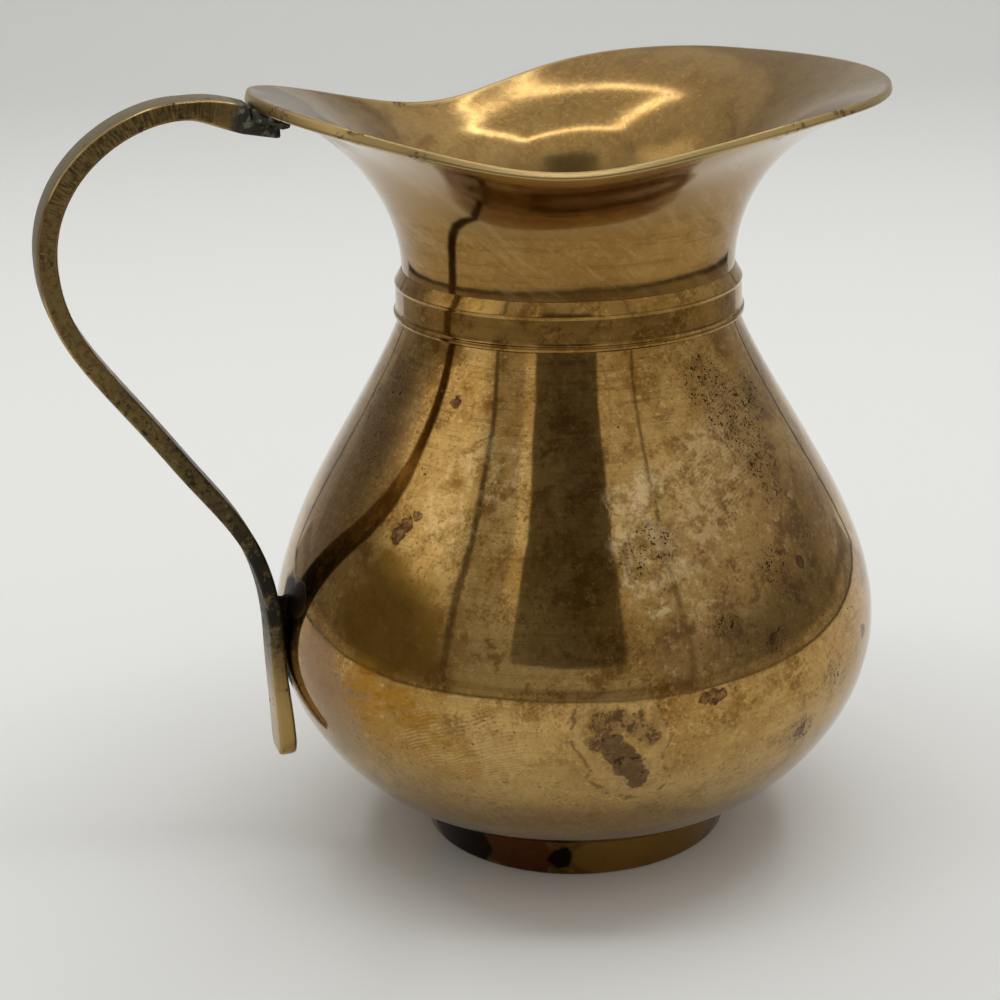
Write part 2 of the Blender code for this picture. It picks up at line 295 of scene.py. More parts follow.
def aged_brass(name, bright, brown, shine):
    """Turned brass, polished long ago: cloudy browning, grit, lathe lines, scratches and specks."""
    finish = Finish(name, bright, shine)
    browned = finish.clouds(0.40, 0.60, 17 * MM, 8.0, 0.62)
    finish.lay(browned, 0.9, brown, shine + 0.01)
    deep = finish.clouds(0.46, 0.64, 5 * MM, 9.0, 0.72)
    finish.lay(deep, 0.85, toned(brown, 0.58, 0.50, 0.38), shine + 0.03)
    flecks = finish.clouds(0.50, 0.66, 1.2 * MM, 7.0, 0.78)
    finish.lay(flecks, 0.7, toned(bright, 1.3, 1.32, 1.35), shine + 0.02)
    patches = finish.clouds(0.46, 0.62, 10 * MM, 6.0, 0.65)
    grit = finish.clouds(0.50, 0.62, 0.5 * MM, 5.0, 0.7)
    finish.lay(finish.times(grit, patches), 0.6, toned(brown, 0.42, 0.34, 0.26), shine + 0.08)
    lathe = finish.grain(26 * MM, 5.0, 0.7, TURNING)
    finish.lay(finish.spread(lathe, 0.50, 0.66), 0.4, toned(brown, 0.8, 0.72, 0.6))
    finish.relief(finish.grain(7 * MM, 2.0, 0.5), 0.03 * MM)
    finish.relief(lathe, 0.001 * MM)
    for turn in (RUBBED_LEFT, RUBBED_RIGHT):
        rubbed = finish.grain(12 * MM, 3.0, 0.6, (1.0, 1.0, 70.0), turn)
        where = finish.clouds(0.48, 0.6, 11 * MM, 2.0)
        lines = finish.times(finish.spread(rubbed, 0.54, 0.66), where)
        finish.lay(lines, 0.35, toned(bright, 1.12, 1.12, 1.2))
        finish.relief(finish.times(rubbed, where), 0.0006 * MM)
    specks = finish.clouds(0.66, 0.71, 0.7 * MM, 3.0, 0.6)
    thick = finish.clouds(0.42, 0.62, 9 * MM, 4.0)
    finish.lay(finish.times(specks, thick), 1.0, (0.05, 0.026, 0.012), 0.5)
    return finish


def foot_marks(*rows):
    """Marks on the outside of the foot: degrees from the spout, millimetres of radius."""
    out = foot_radius - foot_mark_inset
    return [(on_axis(math.radians(angle), out, foot_mark_z), radius * MM) for angle, radius in rows]


def foot_finish():
    finish = aged_brass("foot_tarnish", (0.27, 0.16, 0.042), (0.13, 0.065, 0.016), 0.2)
    gold = foot_marks((-100, 5), (-88, 7), (-74, 7), (-60, 6), (70, 9))
    gold_share = finish.spread(finish.marks(gold, 2.0 * MM, 4.0 * MM), 0.05, 0.4)
    finish.lay(gold_share, 0.75, (0.33, 0.185, 0.038), 0.2)
    red = foot_marks((-138, 5), (-131, 5.5), (-123, 4.5), (40, 7), (150, 7))
    red_share = finish.spread(finish.marks(red, 1.5 * MM, 3.0 * MM), 0.1, 0.4)
    finish.lay(red_share, 0.85, (0.13, 0.036, 0.011), 0.22)
    black = foot_marks((-164, 6), (-156, 6), (-148, 5), (-115, 2.6), (10, 8))
    black_share = finish.spread(finish.marks(black, 1.8 * MM, 3.0 * MM), 0.12, 0.4)
    finish.lay(black_share, 0.97, (0.007, 0.005, 0.003), 0.3)
    return finish.done()


foot_outline = filleted(
    [
        (foot_bore_radius, 0.0, foot_fillet),
        (foot_bore_radius, foot_height, foot_fillet),
        (foot_radius, foot_height, foot_fillet),
        (foot_rest_radius, 0.0, foot_fillet),
    ]
)
foot_mesh = turned("foot_ring_turned", evened(foot_outline, True), True)
add_piece("foot_ring_turned", foot_mesh, foot_finish(), "foot_ring")

# Belly: one sheet of brass spun into a pear-shaped bowl with a flat floor, then polished on the lathe.
# It carries most of the wear: pitted patches, a ringed stain, brown spots and a warm rubbed cheek.
belly_low, belly_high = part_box("belly")
belly_radius = belly_high.y
belly_floor_z = belly_low.z
belly_mouth_z = belly_high.z
belly_widest_z = belly_floor_z + 26.8 * MM
belly_mouth_radius = 24.8 * MM
belly_wall = 1.8 * MM
shoulder_angle = math.radians(19.5)
shoulder_pull = 13.3 * MM
waist_pull_up = 15.7 * MM
waist_pull_down = 14.7 * MM
floor_pull = 5.8 * MM
shoulder_points = 70
base_points = 50
dent_depth = 0.09 * MM
dent_period = 13.0 * MM
finger_pitch = 0.52 * MM
finger_bend = 0.8 * MM
finger_middle = Vector((12 * MM, 0.0, -26 * MM))


def curved(start, start_pull, end_pull, end, count):
    """Points of the smooth curve between two ends, drawn out along a pull at each end."""
    start = Vector(start)
    end = Vector(end)
    return interpolate_bezier(start, start + Vector(start_pull), end + Vector(end_pull), end, count)


def belly_line():
    """Outer line of the belly from its mouth down to the edge of its floor."""
    shoulder = shoulder_pull * Vector((math.sin(shoulder_angle), -math.cos(shoulder_angle)))
    mouth = (belly_mouth_radius, belly_mouth_z)
    widest = (belly_radius, belly_widest_z)
    floor_edge = (foot_radius, belly_floor_z)
    upper = curved(mouth, shoulder, (0.0, waist_pull_up), widest, shoulder_points)
    lower = curved(widest, (0.0, -waist_pull_down), (floor_pull, 0.0), floor_edge, base_points)
    return upper + lower[1:]


def inside_of(line, wall):
    """The line moved this far inwards, square to itself."""
    moved = []
    for i, point in enumerate(line):
        run = line[min(i + 1, len(line) - 1)] - line[max(i - 1, 0)]
        moved.append(point + wall * Vector((run.y, -run.x)).normalized())
    return moved


def dented(mesh, depth, period):
    """Shallow waves left by hand work, pushed into a mesh along its own normals."""
    normals = [vertex.normal.copy() for vertex in mesh.vertices]
    places = [vertex.co.copy() for vertex in mesh.vertices]
    moved = [p + n * depth * noise.noise(p / period) for p, n in zip(places, normals)]
    mesh.vertices.foreach_set("co", np.array(moved, np.float32).ravel())
    mesh.update()


belly_outer = belly_line()
belly_inner = inside_of(belly_outer, belly_wall)


def belly_reach(heights):
    """How far the belly's outside lies from the axis at these heights."""
    rising = belly_outer[::-1]
    return np.interp(heights, [p.y for p in rising], [p.x for p in rising])


def belly_marks(*rows):
    """Marks on the outside of the belly: degrees from the spout, millimetres up and of radius."""
    marks = []
    for angle, height, radius in rows:
        out = float(belly_reach(height * MM))
        marks.append((on_axis(math.radians(angle), out, height * MM), radius * MM))
    return marks


def belly_finish():
    finish = aged_brass("belly_brass_worn", (0.50, 0.315, 0.105), (0.35, 0.19, 0.046), 0.055)
    dusky = belly_marks((-178, 62, 15), (-176, 50, 13), (-166, 68, 12), (20, 40, 18))
    dim = finish.spread(finish.marks(dusky, 5 * MM, 7 * MM), 0.0, 0.6)
    finish.lay(dim, 0.65, (0.25, 0.138, 0.05), 0.09)
    gritty = finish.clouds(0.50, 0.62, 0.8 * MM, 6.0, 0.76)
    finish.lay(finish.times(dim, gritty), 0.55, (0.50, 0.34, 0.15), 0.14)
    olives = belly_marks((-151, 45, 8), (-143.5, 49, 8), (-139, 44, 7), (-148, 51, 7), (-146, 41.5, 6))
    olive = finish.spread(finish.marks(olives, 4 * MM, 6 * MM), 0.0, 0.5)
    finish.lay(olive, 0.75, (0.23, 0.118, 0.014), 0.08)
    mauves = belly_marks((-163, 37, 7), (-160, 31.5, 8), (-156, 27.5, 7), (-152, 34.5, 5), (95, 34, 12))
    mauve = finish.spread(finish.marks(mauves, 3 * MM, 5 * MM), 0.0, 0.5)
    finish.lay(mauve, 0.8, (0.25, 0.145, 0.075), 0.13)
    browns = belly_marks(
        (-77, 56, 13), (-71, 47, 13), (-85, 45, 9), (-57, 56, 13), (-63, 66, 12), (120, 52, 16),
    )
    browned = finish.spread(finish.marks(browns, 5 * MM, 6 * MM), 0.0, 0.5)
    finish.lay(browned, 0.5, (0.37, 0.22, 0.085), 0.10)
    mottle = finish.clouds(0.49, 0.60, 4.4 * MM, 9.0, 0.74)
    finish.lay(finish.times(browned, mottle), 0.8, (0.18, 0.09, 0.032), 0.14)
    pale = finish.clouds(0.54, 0.66, 1.6 * MM, 8.0, 0.75)
    finish.lay(finish.times(browned, pale), 0.65, (0.66, 0.47, 0.22), 0.12)
    rubs = belly_marks(
        (-86, 62, 8), (-78, 60, 9), (-72, 66, 8), (-86, 51, 6),
        (-128, 66, 9), (-136, 60, 8), (140, 60, 12),
    )
    rubbed = finish.spread(finish.marks(rubs, 5 * MM, 6 * MM), 0.0, 0.5)
    rubbed = finish.times(rubbed, finish.clouds(0.46, 0.60, 2.4 * MM, 8.0, 0.74))
    finish.lay(rubbed, 0.6, (0.68, 0.48, 0.22), 0.1)
    height = finish.height()
    strokes = finish.clouds(0.53, 0.60, 13 * MM, 4.0, 0.7, (1.0, 1.0, 16.0))
    strokes = finish.times(strokes, finish.spread(height, 58 * MM, 72 * MM))
    strokes = finish.times(strokes, finish.clouds(0.42, 0.58, 3 * MM, 6.0, 0.7))
    finish.lay(strokes, 0.55, (0.17, 0.085, 0.024), 0.1)
    cheeks = belly_marks((-150, 35.3, 6), (-143, 32.5, 8), (-137, 29.5, 8), (-131, 27, 6), (60, 30, 12))
    warm = finish.spread(finish.marks(cheeks, 4 * MM, 5 * MM), 0.05, 0.4)
    warm_streaks = finish.grain(5 * MM, 7.0, 0.72, (1.0, 1.0, 3.0), RUBBED_LEFT)
    streaked = finish.times(warm, finish.spread(warm_streaks, 0.36, 0.58))
    finish.lay(streaked, 1.0, (0.36, 0.172, 0.020), 0.10)
    deeper = finish.times(warm, finish.spread(warm_streaks, 0.53, 0.64))
    finish.lay(deeper, 0.8, (0.22, 0.098, 0.014), 0.12)
    # Painted reflection: below its widest, where the belly mirrors the pale paper, it is painted paler
    # and yellower.
    finish.lay(finish.spread(height, 36 * MM, 24 * MM), 0.4, (0.50, 0.355, 0.145), 0.085)
    peppered = finish.clouds(0.53, 0.64, 0.55 * MM, 5.0, 0.75)
    thick = finish.spread(finish.grain(7 * MM, 5.0, 0.65), 0.38, 0.62, 0.25, 0.75)
    finish.lay(finish.times(peppered, thick), 1.0, (0.16, 0.085, 0.026), 0.16)
    return finish


def handled(finish):
    """Lines left by fingertips, and soot from the torch round the foot of the handle."""
    for touch in belly_marks((-124.8, 29.2, 9), (-135, 31, 6), (-61, 69.5, 8), (-72.2, 63, 7)):
        where = finish.spread(finish.marks([touch], 2 * MM, 4 * MM), 0.05, 0.4)
        lines = finish.ridges(touch[0] + finger_middle, finger_pitch, finger_bend)
        broken = finish.clouds(0.38, 0.58, 2.4 * MM, 4.0, 0.6)
        finish.lay(finish.times(where, broken, lines), 0.4, (0.64, 0.45, 0.20), 0.10)
    soots = belly_marks((180, 42, 5), (180, 36, 4.5), (180, 30, 4), (-174, 43, 4.5))
    soot = finish.spread(finish.marks(soots, 1.2 * MM, 2.0 * MM), 0.08, 0.5)
    finish.lay(soot, 0.95, (0.022, 0.012, 0.006), 0.5)


def flaked(finish):
    """A patch where lime has lifted in flakes with dirty cracks between them."""
    places = belly_marks(
        (-97, 62, 4), (-92, 63.5, 4), (-96.6, 58.5, 4.5), (-92, 57, 4.5), (-95.6, 54, 4),
        (-90, 54.5, 4), (-93.5, 50.5, 3.5),
    )
    where = finish.spread(finish.marks(places, 2.2 * MM, 3 * MM), 0.02, 0.35)
    shades = finish.clouds(0.40, 0.60, 2.0 * MM, 5.0, 0.65)
    finish.lay(finish.times(where, shades), 0.8, (0.74, 0.54, 0.27), 0.13)
    broken = finish.clouds(0.40, 0.56, 1.8 * MM)
    cracks = finish.times(finish.cracks(2.6 * MM, 1.6 * MM), broken, where)
    finish.lay(cracks, 0.4, (0.11, 0.058, 0.026), 0.25)
    finish.relief(finish.math("SUBTRACT", where, cracks), 0.005 * MM)


def pitted(finish):
    """Corrosion pits in crowds, and single brown spots."""
    crowds = belly_marks(
        (-66, 75, 6), (-62, 72, 7), (-58, 69, 7), (-57, 64.5, 6), (-50, 71, 6), (-58, 60, 4.5),
        (-91, 57, 4), (-96.5, 55, 3.5), (-70.2, 42.4, 3.6), (-79.8, 45.9, 3.2), (-66, 51, 5),
        (-168, 66, 6), (-174, 70, 6), (-167, 73, 4.5), (-63, 27, 3.6), (-54.5, 33.6, 2.8), (100, 60, 9),
        (30, 48, 7),
    )
    thick = finish.spread(finish.marks(crowds, 2.5 * MM, 3 * MM), 0.0, 0.5)
    fine = finish.clouds(0.60, 0.65, 0.36 * MM, 2.0, 0.5)
    coarse = finish.clouds(0.59, 0.63, 0.9 * MM, 4.0, 0.66)
    pits = finish.times(finish.math("MAXIMUM", fine, coarse), thick)
    finish.lay(thick, 0.3, (0.19, 0.10, 0.036), 0.12)
    finish.lay(pits, 0.92, (0.034, 0.016, 0.006), 0.75)
    finish.relief(finish.math("SUBTRACT", 1.0, pits), 0.015 * MM)
    spots = belly_marks(
        (-148.4, 56.6, 1.9), (-146.6, 57.8, 1.5), (-144.6, 59.4, 1.1), (-143, 73.5, 1.2),
        (-85.8, 36.7, 1.2), (-84.4, 36.8, 1.4), (-82.9, 36.9, 1.1), (-70.6, 42.6, 1.2),
        (-58, 50.4, 1.2), (-40.1, 36, 1.3), (-63, 26.8, 1.3), (75, 55, 2.0),
    )
    shape = finish.marks(spots, 1.2 * MM, 1.5 * MM)
    spotted = finish.spread(shape, 0.04, 0.34)
    blotched = finish.spread(finish.grain(1.0 * MM, 6.0, 0.74), 0.40, 0.60, 0.55, 1.0)
    finish.lay(finish.times(spotted, blotched), 0.95, (0.105, 0.042, 0.020), 0.3)
    rim = finish.times(spotted, finish.spread(shape, 0.5, 0.28))
    finish.lay(finish.times(rim, blotched), 0.6, (0.040, 0.017, 0.009), 0.4)


def ringed_stain(finish):
    """A dried drop: a dark mottled crust in the middle, spatter above it and a broken, faint outline."""
    core = belly_marks((-102.8, 31.8, 2.6), (-101.2, 30.0, 3.0), (-99.6, 28.0, 3.1), (-97.8, 25.8, 2.5))
    splash = belly_marks(
        (-104.6, 34.6, 2.4), (-101.5, 35.2, 2.7), (-98.2, 34.4, 2.7), (-96.2, 32.6, 2.2),
        (-105.4, 32.0, 1.9),
    )
    wider = [(point, 2.0 * radius) for point, radius in core + splash]
    around = finish.marks(wider, 1.9 * MM, 3.6 * MM)
    pale = finish.times(finish.spread(around, 0.10, 0.26), finish.spread(around, 0.66, 0.40))
    finish.lay(pale, 0.25, (0.48, 0.33, 0.15), 0.14)
    outline = finish.times(finish.spread(around, 0.02, 0.08), finish.spread(around, 0.17, 0.10))
    broken = finish.clouds(0.42, 0.54, 1.6 * MM, 5.0, 0.65)
    finish.lay(finish.times(outline, broken), 0.75, (0.16, 0.09, 0.04), 0.25)
    spatter = finish.spread(finish.marks(splash, 1.1 * MM, 1.8 * MM), 0.04, 0.4)
    finish.lay(spatter, 0.6, (0.20, 0.115, 0.05), 0.2)
    grains = finish.times(spatter, finish.clouds(0.47, 0.55, 1.3 * MM, 7.0, 0.78))
    finish.lay(grains, 0.85, (0.095, 0.050, 0.022), 0.4)
    crust = finish.spread(finish.marks(core, 1.1 * MM, 1.7 * MM), 0.14, 0.32)
    finish.lay(crust, 0.92, (0.115, 0.064, 0.028), 0.34)
    ashy = finish.times(crust, finish.clouds(0.48, 0.60, 1.5 * MM, 6.0, 0.7))
    finish.lay(ashy, 0.7, (0.20, 0.125, 0.065), 0.45)
    black = finish.times(crust, finish.clouds(0.56, 0.64, 1.1 * MM, 5.0, 0.7))
    finish.lay(black, 0.8, (0.030, 0.016, 0.009), 0.5)
    finish.relief(crust, 0.04 * MM)


belly_worn = belly_finish()
handled(belly_worn)
flaked(belly_worn)
pitted(belly_worn)
ringed_stain(belly_worn)
belly_outline = [Vector((0.0, belly_floor_z + belly_wall))] + belly_inner[::-1] + belly_outer
belly_outline.append(Vector((0.0, belly_floor_z)))
belly_mesh = turned("belly_spun", evened(belly_outline, False), False)
dented(belly_mesh, dent_depth, dent_period)
add_piece("belly_spun", belly_mesh, belly_worn.done(), "belly")

# Neck and lip: a tube opened into a wide wavy lip, with a pouring spout in front and a tongue behind for
# the handle. Hammered from sheet over a stake and polished bright inside; its cut edge is just eased.
neck_foot_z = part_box("neck")[0].z
neck_bore_radius = 22.5 * MM
neck_wall = 1.7 * MM
neck_radius = neck_bore_radius + neck_wall
flare_z = neck_foot_z + 7.0 * MM
flare_pull = 9.7 * MM
waist_pull = 4.5 * MM
lip_pull_share = 0.67
lip_lean = math.radians(24.8)
lip_flattens = math.radians(2.6) / MM
lip_fillet = 0.35 * MM
lip_thinned = 0.5 * MM
lip_reaches = [46.2 * MM, 44.9 * MM, 39.8 * MM, 34.0 * MM, 40.7 * MM, 45.2 * MM]
lip_heights = [32.3 * MM, 32.3 * MM, 30.3 * MM, 26.3 * MM, 30.8 * MM, 34.0 * MM]
flare_steps = 44
tube_steps = 8
edge_shares = (0.4, 0.5, 0.6)
hammer_depth = 0.06 * MM
hammer_period = 11.0 * MM


def waves_through(sizes):
    """Amounts of the cosine waves that pass through sizes at even steps over half a turn."""
    last = len(sizes) - 1
    amounts = []
    for order in range(len(sizes)):
        terms = [size * math.cos(math.pi * order * i / last) for i, size in enumerate(sizes)]
        amount = (2 * sum(terms) - terms[0] - terms[-1]) / last
        amounts.append(amount / 2 if order in (0, last) else amount)
    return amounts


lip_reach_waves = waves_through(lip_reaches)
lip_height_waves = waves_through(lip_heights)


def sum_of_waves(amounts, angle):
    return sum(amount * math.cos(order * angle) for order, amount in enumerate(amounts))


def flare_controls(angle):
    """The four (radius, height) points that draw the inside of the flare at this angle from the spout."""
    reach = sum_of_waves(lip_reach_waves, angle)
    lean = lip_lean - lip_flattens * (reach - lip_reach_waves[0])
    throat = Vector((neck_bore_radius, flare_z))
    lip = Vector((reach, neck_foot_z + sum_of_waves(lip_height_waves, angle)))
    lip_pull = lip_pull_share * (reach - neck_bore_radius) * way(lean)
    rise = flare_pull + waist_pull * math.sin(angle) ** 2
    return throat, throat + Vector((0.0, rise)), lip - lip_pull, lip


def flare_below(angle, share, depth):
    """A point this far outside the flare's inner face, at this share of the way from throat to lip."""
    a, b, c, d = flare_controls(angle)
    rest = 1.0 - share
    point = rest**3 * a + 3 * rest**2 * share * b + 3 * rest * share**2 * c + share**3 * d
    run = rest**2 * (b - a) + 2 * rest * share * (c - b) + share**2 * (d - c)
    return point + depth * Vector((run.y, -run.x)).normalized()


def wall_at(angle, share):
    """The wall's thickness, hammered thinner towards the lip everywhere but at the tongue."""
    off_tongue = 1.0 - max(0.0, -math.cos(angle)) ** 4
    return neck_wall - lip_thinned * share**3 * off_tongue


def neck_outline(angle):
    """Closed outline of the neck's wall at this angle: up the inside, over the lip, down the outside."""
    shares = [i / flare_steps for i in range(flare_steps)]
    inside = [flare_below(angle, share, 0.0) for share in shares]
    outside = [flare_below(angle, share, wall_at(angle, share)) for share in reversed(shares)]
    top = flare_below(angle, 1.0, 0.0)
    under = flare_below(angle, 1.0, wall_at(angle, 1.0))
    back = (inside[-1] - top).normalized() * lip_fillet
    across = (under - top).normalized() * lip_fillet
    rim = []
    for corner, enter, leave in ((top, back, across), (under, -across, back)):
        for step in range(FILLET_STEPS + 1):
            t = step / FILLET_STEPS
            rim.append(corner + (1 - t) ** 2 * enter + t**2 * leave)
        if corner is top:
            rim += [top.lerp(under, share) for share in edge_shares]
    tube = [neck_foot_z + (flare_z - neck_foot_z) * i / tube_steps for i in range(tube_steps)]
    rise = [Vector((neck_bore_radius, z)) for z in tube]
    fall = [Vector((neck_radius, z)) for z in reversed(tube)]
    return rise + inside + rim + outside + fall


def lip_marks(*rows):
    """Marks on the flare: degrees from the spout, share of the way to the lip, millimetres of radius."""
    marks = []
    for angle, share, radius in rows:
        point = flare_below(math.radians(angle), share, neck_wall / 2)
        marks.append((on_axis(math.radians(angle), point.x, point.y), radius * MM))
    return marks


def neck_finish():
    finish = aged_brass("neck_brass_rubbed", (0.47, 0.30, 0.105), (0.34, 0.19, 0.052), 0.13)
    normal = finish.node("ShaderNodeNewGeometry").outputs["Normal"]
    upward = finish.node("ShaderNodeSeparateXYZ", normal).outputs["Z"]
    finish.lay(finish.spread(upward, -0.1, 0.2), 0.5, (0.40, 0.252, 0.092), 0.13)
    hazy = finish.clouds(0.47, 0.62, 3.5 * MM, 8.0, 0.74)
    finish.lay(hazy, 0.4, (0.30, 0.185, 0.078), 0.18)
    dusty = finish.clouds(0.52, 0.64, 0.8 * MM, 6.0, 0.75)
    finish.lay(dusty, 0.3, (0.52, 0.37, 0.17), 0.2)
    outside = finish.spread(upward, 0.12, -0.02)
    cloudy = finish.clouds(0.36, 0.60, 8 * MM, 8.0, 0.68)
    finish.lay(outside, 0.85, (0.31, 0.172, 0.045), 0.075)
    finish.lay(finish.times(outside, cloudy), 0.7, (0.25, 0.13, 0.034), 0.095)
    brushed = finish.clouds(0.50, 0.60, 15 * MM, 5.0, 0.72, (1.0, 1.0, 14.0))
    finish.lay(finish.times(outside, brushed), 0.5, (0.19, 0.098, 0.026), 0.1)
    grainy = finish.clouds(0.50, 0.64, 0.9 * MM, 7.0, 0.76)
    finish.lay(finish.times(outside, grainy), 0.22, (0.54, 0.35, 0.12), 0.11)
    under = finish.spread(upward, -0.32, -0.58)
    finish.lay(under, 0.85, (0.31, 0.19, 0.068), 0.10)
    swept = finish.clouds(0.50, 0.64, 9 * MM, 6.0, 0.72, (1.0, 1.0, 6.0), RUBBED_RIGHT)
    finish.lay(finish.times(outside, swept), 0.4, (0.42, 0.28, 0.115), 0.14)
    throat = finish.spread(finish.height(), flare_z + 13 * MM, flare_z + 7 * MM)
    throat = finish.times(throat, finish.spread(upward, 0.02, 0.12))
    finish.lay(throat, 0.8, (0.36, 0.22, 0.075), 0.32)
    dulls = lip_marks((180, 0.85, 11), (-163, 0.9, 9), (163, 0.9, 9))
    dulled = finish.spread(finish.marks(dulls, 4 * MM, 5 * MM), 0.0, 0.5)
    finish.lay(dulled, 0.75, (0.25, 0.165, 0.09), 0.28)
    cut_edge = finish.spread(finish.kept("edge"), -0.9 * MM, -0.3 * MM)
    finish.lay(cut_edge, 0.8, (0.50, 0.36, 0.16), 0.34)
    stains = lip_marks(
        (-64, 0.97, 3), (-168, 0.95, 5), (-150, 1.0, 3), (118, 0.96, 2.2),
        (-138, 1.0, 2.4), (-52, 1.0, 3), (-30, 1.0, 2.6), (141, 0.98, 2.4),
    )
    stained = finish.spread(finish.marks(stains, 2.0 * MM, 2.2 * MM), 0.0, 0.4)
    broken = finish.clouds(0.49, 0.58, 1.1 * MM, 6.0, 0.72)
    finish.lay(finish.times(stained, broken), 0.75, (0.10, 0.052, 0.022), 0.35)
    return finish.done()


neck_rings = [[on_axis(a, p.x, p.y) for p in neck_outline(a)] for a in round_turn(TURN_STEPS)]
neck_mesh = skinned("neck_raised", neck_rings, True)
dented(neck_mesh, hammer_depth, hammer_period)
lip_edge = neck_mesh.attributes.new("edge", "FLOAT", "POINT")
for vertex, mark in zip(neck_mesh.vertices, lip_edge.data):
    flat = vertex.co.xy - Vector((axis_x, 0.0))
    mark.value = flat.length - sum_of_waves(lip_reach_waves, math.atan2(flat.y, flat.x))
add_piece("neck_raised", neck_mesh, neck_finish(), "neck")

# Collar: a turned brass ring sweated over the seam of neck and belly, with a bead at its lower edge and
# a bevelled ledge on top. A ragged near-black line along its top edge, where it meets the neck, is
# painted shade.
collar_low, collar_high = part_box("collar")
collar_bead_radius = collar_high.y
collar_bead = 0.4 * MM
collar_bite = 0.05 * MM
collar_bevel = 2.0 * MM
collar_dent_depth = 0.10 * MM
collar_dent_period = 7 * MM
collar_radius = collar_bead_radius - collar_bead
collar_bore_radius = neck_radius - collar_bite
collar_foot_z = collar_low.z
collar_top_z = collar_high.z
collar_ledge_z = collar_top_z - collar_bevel


def collar_finish():
    finish = aged_brass("collar_brass_shade_lined", (0.40, 0.24, 0.07), (0.28, 0.15, 0.038), 0.10)
    # Painted shade: a ragged near-black line along the top edge, in the corner where the collar meets the
    # neck.
    ragged = finish.math("ADD", finish.height(), finish.times(finish.grain(2.4 * MM, 5.0), 0.5 * MM))
    painted_shade_line = finish.spread(ragged, collar_top_z - 0.05 * MM, collar_top_z + 0.3 * MM)
    finish.lay(painted_shade_line, 0.8, (0.05, 0.026, 0.011), 0.4, 0.8)
    return finish.done()


collar_outline = filleted(
    [
        (collar_bore_radius, collar_foot_z, 0.1 * MM),
        (collar_bore_radius, collar_top_z - 0.3 * MM, 0.05 * MM),
        (collar_bore_radius + 0.1 * MM, collar_top_z - 0.25 * MM, 0.05 * MM),
        (collar_radius, collar_ledge_z - 0.1 * MM, 0.15 * MM),
        (collar_radius - 0.12 * MM, collar_ledge_z - 0.5 * MM, 0.15 * MM),
        (collar_radius - 0.05 * MM, collar_foot_z + 1.15 * MM, 0.2 * MM),
        (collar_radius + 0.05 * MM, collar_foot_z + 0.8 * MM, 0.1 * MM),
        (collar_bead_radius - 0.1 * MM, collar_foot_z + 0.55 * MM, 0.1 * MM),
        (collar_bead_radius - 0.1 * MM, collar_foot_z - 0.1 * MM, 0.25 * MM),
    ]
)
collar_mesh = turned("collar_turned", evened(collar_outline, True), True)
dented(collar_mesh, collar_dent_depth, collar_dent_period)
add_piece("collar_turned", collar_mesh, collar_finish(), "collar")

# Strap handle: a flat brass bar bent cold. Its stepped tab is soldered under the tongue and its tail lies
# on the belly. The sawn sides are dark and cross-hatched by the file; the broad faces are rubbed smooth.
handle_reach = 76.0 * MM
strap_half_width = 3.3 * MM
strap_fillet = 0.5 * MM
seam = 0.3 * MM
pad_thick = 0.7 * MM
pad_depth = neck_wall + seam
tab_depth = pad_depth + pad_thick + seam
tab_length = 4.8 * MM
tab_thick = 1.6 * MM
step_thick = 3.9 * MM
step_climb = math.radians(18.0)
step_rise = 1.9 * MM
crown_back = 8.6 * MM
crown_rise = 1.8 * MM
crown_thick = 2.6 * MM
loop_drop = 19.4 * MM
loop_thick = 2.8 * MM
sweep_out = 12.4 * MM
sweep_up = 30.0 * MM
sweep_angle = math.radians(55.6)
sweep_thick = 2.7 * MM
contact_z = belly_widest_z + 1.0 * MM
contact_thick = 2.1 * MM
tail_length = 16.1 * MM
tail_lean = 0.7 * MM
tail_thick = 2.6 * MM
tail_nose = 2.2 * MM
tail_round = 1.1 * MM
tail_steps = 26
tail_last_step = 25.4
tab_steps = 8
tab_end_shares = (0.62, 0.9)
tab_end_narrowing = 0.5 * MM
step_steps = 5
step_foot_share = 0.96
strap_points = 40
most_fillet_share = 0.42
tongue = math.pi


def strap_stations():
    """The strap's stations from the step to the tail: place, heading, pulls in and out, thickness."""
    rim_edge = flare_below(tongue, 1.0, neck_wall)
    tab_top = flare_below(tongue, 1.0, tab_depth)
    step_x = -rim_edge.x - seam - math.sin(step_climb) * step_thick / 2
    step_z = tab_top.y + step_rise - step_thick / 2
    crown = (step_x - crown_back, step_z + crown_rise)
    loop = (loop_thick / 2 - handle_reach, step_z + crown_rise - loop_drop)
    contact_x = -belly_radius - seam - contact_thick / 2
    sweep = (contact_x - sweep_out, contact_z + sweep_up)
    tail = (contact_x + tail_lean, contact_z - tail_length)
    back = math.pi
    down = -math.pi / 2
    return (
        ((step_x, step_z), back - step_climb, 0.0, 5.0 * MM, step_thick),
        (crown, back, 2.5 * MM, 8.0 * MM, crown_thick),
        (loop, down, 12.2 * MM, 10.8 * MM, loop_thick),
        (sweep, -sweep_angle, 16.3 * MM, 11.8 * MM, sweep_thick),
        ((contact_x, contact_z), down, 16.0 * MM, 5.0 * MM, contact_thick),
        (tail, down, 5.0 * MM, 0.0, tail_thick),
    )


def strap_edges():
    """Pairs of points on the strap's outer and inner faces, from the step to the tail."""
    pairs = []
    stations = strap_stations()
    for start, end in zip(stations, stations[1:]):
        place, heading, _, pull_out, thick = start
        next_place, next_heading, pull_in, _, next_thick = end
        first = way(heading)
        last = way(next_heading)
        line = curved(place, first * pull_out, last * -pull_in, next_place, strap_points)
        runs = [after - before for before, after in zip(line, line[2:])]
        runs = [first] + runs + [last]
        for i, (point, run) in enumerate(zip(line, runs)):
            if i == 0 and pairs:
                continue
            share = i / (len(line) - 1)
            half = (thick + (next_thick - thick) * share * share * (3 - 2 * share)) / 2
            side = Vector((run.y, -run.x)).normalized() * half
            pairs.append((point + side, point - side))
    return pairs


